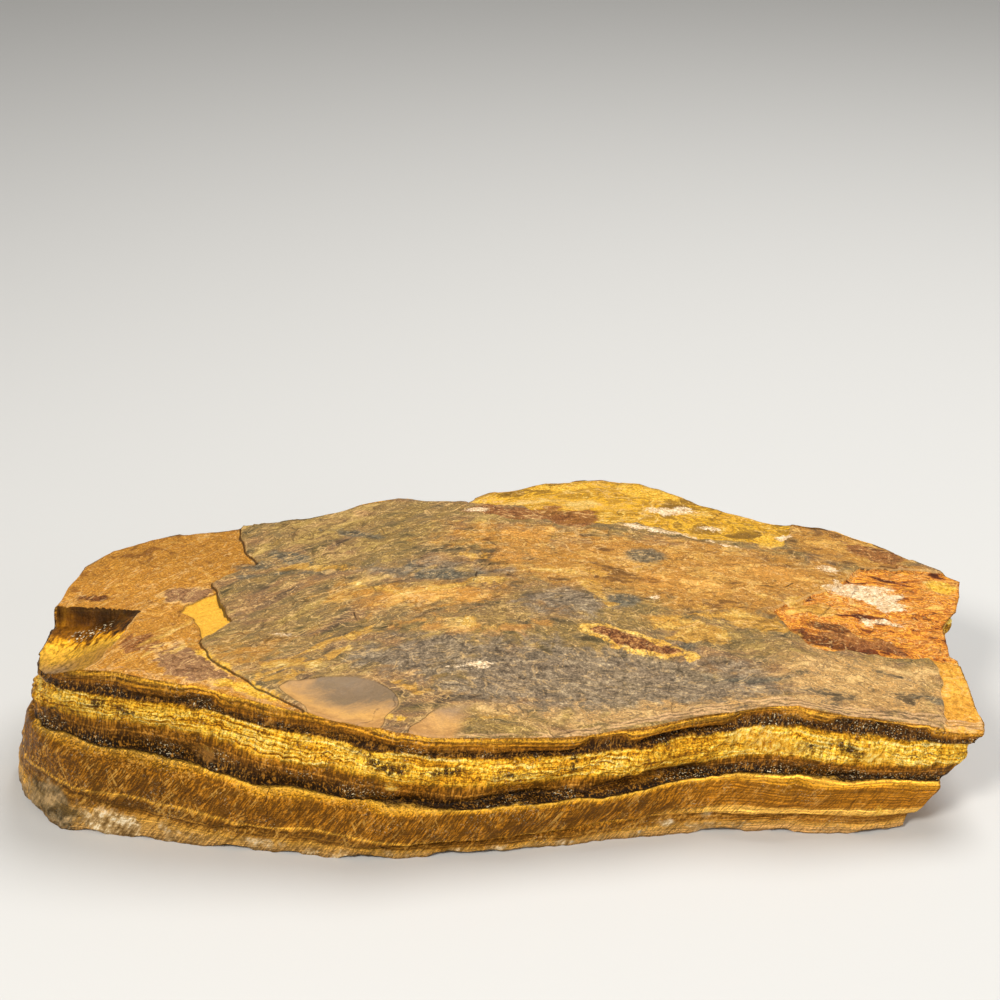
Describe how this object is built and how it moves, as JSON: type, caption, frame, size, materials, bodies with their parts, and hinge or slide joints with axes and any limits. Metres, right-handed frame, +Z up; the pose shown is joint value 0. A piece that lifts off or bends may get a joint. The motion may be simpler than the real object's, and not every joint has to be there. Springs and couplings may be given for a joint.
{
  "type": "rough tiger's eye slab",
  "caption": "Rough slab of banded tiger's eye, broken out of its seam: flat weathered parting face on top, golden and dark beds on its broken sides, resting flat.",
  "frame": {"origin": "middle of the box round the slab, on the face it rests on", "axes": "+X runs along the slab, +Y from the banded front face to the back, +Z up through the beds"},
  "size_m": [0.2906, 0.1602, 0.0531],
  "materials": {
    "banded_stone": "silky fibrous gold and brown bands on the broken sides, matt weathered grey, ochre and rust on top"
  },
  "bodies": {
    "root": {"tigers_eye_slab": "banded_stone"}
  },
  "joints": []
}
